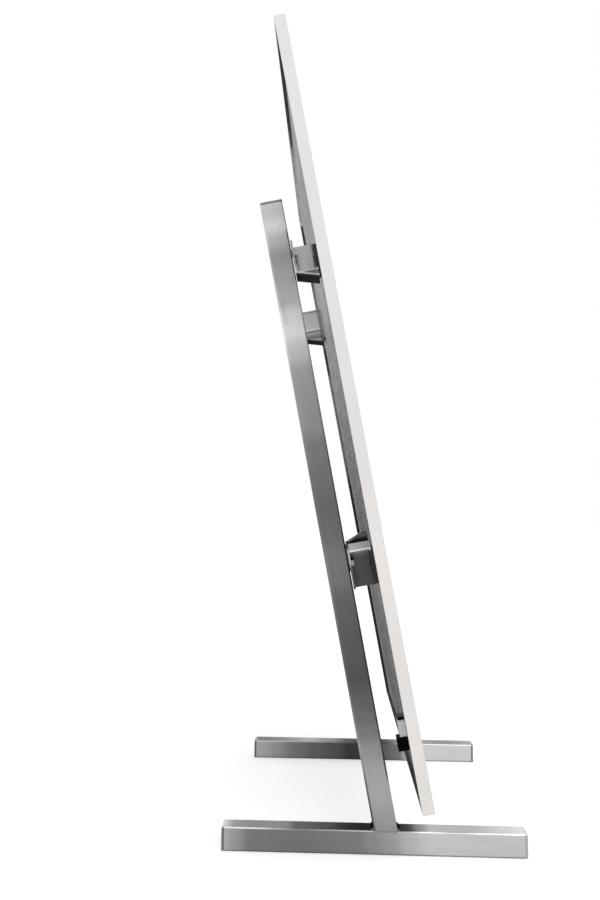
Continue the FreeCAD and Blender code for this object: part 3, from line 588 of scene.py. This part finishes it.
RAILS = ["board_%s_rail" % place for place in ("left", "right", "top", "bottom")]
brushed_steel("near_foot_steel", "Y", foot_tone(NEAR_FOOT_SIDE, NEAR_FOOT_TOP, NEAR_FOOT_CREST),
              edge_tint=0.75).wear("left_foot_tube")
brushed_steel("far_foot_steel", "Y", foot_tone(FAR_FOOT_SIDE, FAR_FOOT_TOP, FAR_FOOT_CREST),
              edge_tint=0.75).wear("right_foot_tube")
brushed_steel("upright_steel", "Z", upright_tone, turn=LEAN).wear(*both("upright_tube"))
brushed_steel("foot_plate_steel", "X", foot_plate_tone).wear(
    *both("foot_front_plate"), *both("foot_rear_plate"))
brushed_steel("cap_steel", "X", up_the_lean(CAP_TONES), turn=LEAN).wear(*both("upright_cap"))
brushed_steel("weld_steel", "Y", weld_tone, edge_tint=0.2).wear(*both("weld_beads"))
bracket_sheet("bracket_steel").wear(*both("upper_bracket"), *both("lower_bracket"))
turned_steel("fastener_steel", even(SCREW_TONE)).wear("rivet_nuts", "hanger_screws")
# Painted shade: the black screws are darkest low down.
turned_steel("fastener_black", up_the_lean(BLACK_AND_SHADE_TONES)).wear("bracket_screws", "buffer_screws")
turned_steel("anchor_steel", even(ANCHOR_TONE)).wear("corner_keys", "anchor_plates")
rail_paint("rail_white", low_tint=(0.85, 0.82, 0.80), high_tint=(0.79, 0.785, 0.785),
           roughness=0.42).wear(*RAILS)
painted_white("face_white", tint=(0.80, 0.80, 0.79), roughness=0.3).wear("board_face_sheet")
zinc_sheet("back_zinc").wear("board_back_sheet")
fibreboard("core_board", dark=(0.30, 0.22, 0.14), light=(0.45, 0.35, 0.24)).wear("board_core")
rubber("buffer_black", dark=0.004, light=0.009).wear("rubber_buffer")
rubber("strip_black", dark=0.004, light=0.009, upper_tone=0.16).wear("buffer_strip")
gasket_light_and_shade("gasket_dark").wear("back_gasket")
bracket_pad_rubber("pad_dark", dark=(0.012, 0.008, 0.007), light=(0.026, 0.017, 0.016),
                   right_lit_dark=0.24, right_lit_light=0.34).wear("bracket_pads")
light_plastic("holder_light").wear("buffer_holder")


# ---------------------------------------------------------------- studio
SKY = 0.66
FLOOR_LIFT_NEAR, FLOOR_LIFT_FAR = 0.46, 0.56
FLOOR_LIFT_BAND = (0.8, 3.0)   # metres from the middle of the easel
FLOOR_REACH = 60.0
FLOOR_GAP = 0.0003             # between floor and feet
SENSOR_HEIGHT, LENS_LENGTH = 36.0, 35.117   # in millimetres
EYE = (-1.1502, 0.0399, 0.3443)
HEADING, RISE = math.radians(-90 + 2.475), math.radians(4.796)
ROLL = 0.010


def seen_directly(tree):
    """1 for rays from the camera, off gloss and through glass, 0 for light that falls on things."""
    path = tree.nodes.new("ShaderNodeLightPath")
    total = path.outputs["Is Camera Ray"]
    for name in ("Is Glossy Ray", "Is Transmission Ray"):
        either = tree.nodes.new("ShaderNodeMath")
        either.operation = "MAXIMUM"
        tree.links.new(total, either.inputs[0])
        tree.links.new(path.outputs[name], either.inputs[1])
        total = either.outputs[0]
    return total


def studio_floor():
    """A white floor that keeps the shadow; it runs out into the white of the background."""
    mesh = bpy.data.meshes.new("studio_floor")
    corners = [(x * FLOOR_REACH, y * FLOOR_REACH, 0) for x, y in ((-1, -1), (1, -1), (1, 1), (-1, 1))]
    mesh.from_pydata(corners, [], [(0, 1, 2, 3)])
    floor = bpy.data.objects.new("studio_floor", mesh)
    bpy.context.scene.collection.objects.link(floor)
    floor.location.z = TABLE_HEIGHT - FLOOR_GAP
    paint = Surface("floor_white")
    paint.fix(Base_Color=(0.86, 0.86, 0.86, 1), Roughness=0.85, Specular_IOR_Level=0.1)
    paint.fix(Emission_Color=(1, 1, 1, 1))
    away = paint.add("ShaderNodeVectorMath", operation="LENGTH")
    paint.link(paint.place, away.inputs[0])
    far = paint.step(away.outputs["Value"], *FLOOR_LIFT_BAND)
    lift = paint.blend(far, FLOOR_LIFT_NEAR, FLOOR_LIFT_FAR)
    paint.link(paint.times(lift, seen_directly(paint.tree)), paint.shader.inputs["Emission Strength"])
    mesh.materials.append(paint.material)


def studio_world():
    """White where it is seen directly, and a softer light on everything."""
    world = bpy.data.worlds.new("studio")
    bpy.context.scene.world = world
    world.use_nodes = True
    tree = world.node_tree
    backdrop = tree.nodes["Background"]
    backdrop.inputs["Color"].default_value = (1, 1, 1, 1)
    backdrop.inputs["Strength"].default_value = 1.0
    soft = tree.nodes.new("ShaderNodeBackground")
    soft.inputs["Color"].default_value = (1, 1, 1, 1)
    soft.inputs["Strength"].default_value = SKY
    choice = tree.nodes.new("ShaderNodeMixShader")
    tree.links.new(seen_directly(tree), choice.inputs[0])
    tree.links.new(soft.outputs[0], choice.inputs[1])
    tree.links.new(backdrop.outputs[0], choice.inputs[2])
    tree.links.new(choice.outputs[0], tree.nodes["World Output"].inputs["Surface"])


def lamp(name, place, aim, size, power):
    light = bpy.data.lights.new(name, "AREA")
    light.shape = "RECTANGLE"
    light.size, light.size_y = size
    light.energy = power
    obj = bpy.data.objects.new(name, light)
    bpy.context.scene.collection.objects.link(obj)
    obj.location = place
    obj.rotation_euler = (Vector(aim) - Vector(place)).to_track_quat("-Z", "Y").to_euler()


def camera():
    """A little below the middle of the board, beside the left-hand frame, and looking slightly up."""
    lens = bpy.data.cameras.new("camera")
    lens.sensor_fit = "VERTICAL"
    lens.sensor_height = SENSOR_HEIGHT
    lens.lens = LENS_LENGTH
    obj = bpy.data.objects.new("camera", lens)
    bpy.context.scene.collection.objects.link(obj)
    obj.location = EYE
    tilt = Euler((math.pi / 2 + RISE, 0, HEADING)).to_matrix()
    obj.rotation_euler = (tilt @ Euler((0, 0, ROLL)).to_matrix()).to_euler()
    bpy.context.scene.camera = obj


studio_floor()
studio_world()
lamp("key", place=(-2.3, -0.7, 1.9), aim=(0, 0, 0.4), size=(1.2, 1.2), power=16)
lamp("fill", place=(-1.4, 1.8, 1.2), aim=(0, 0, 0.4), size=(1.4, 1.0), power=9)
camera()
bpy.context.scene.view_settings.view_transform = "Standard"
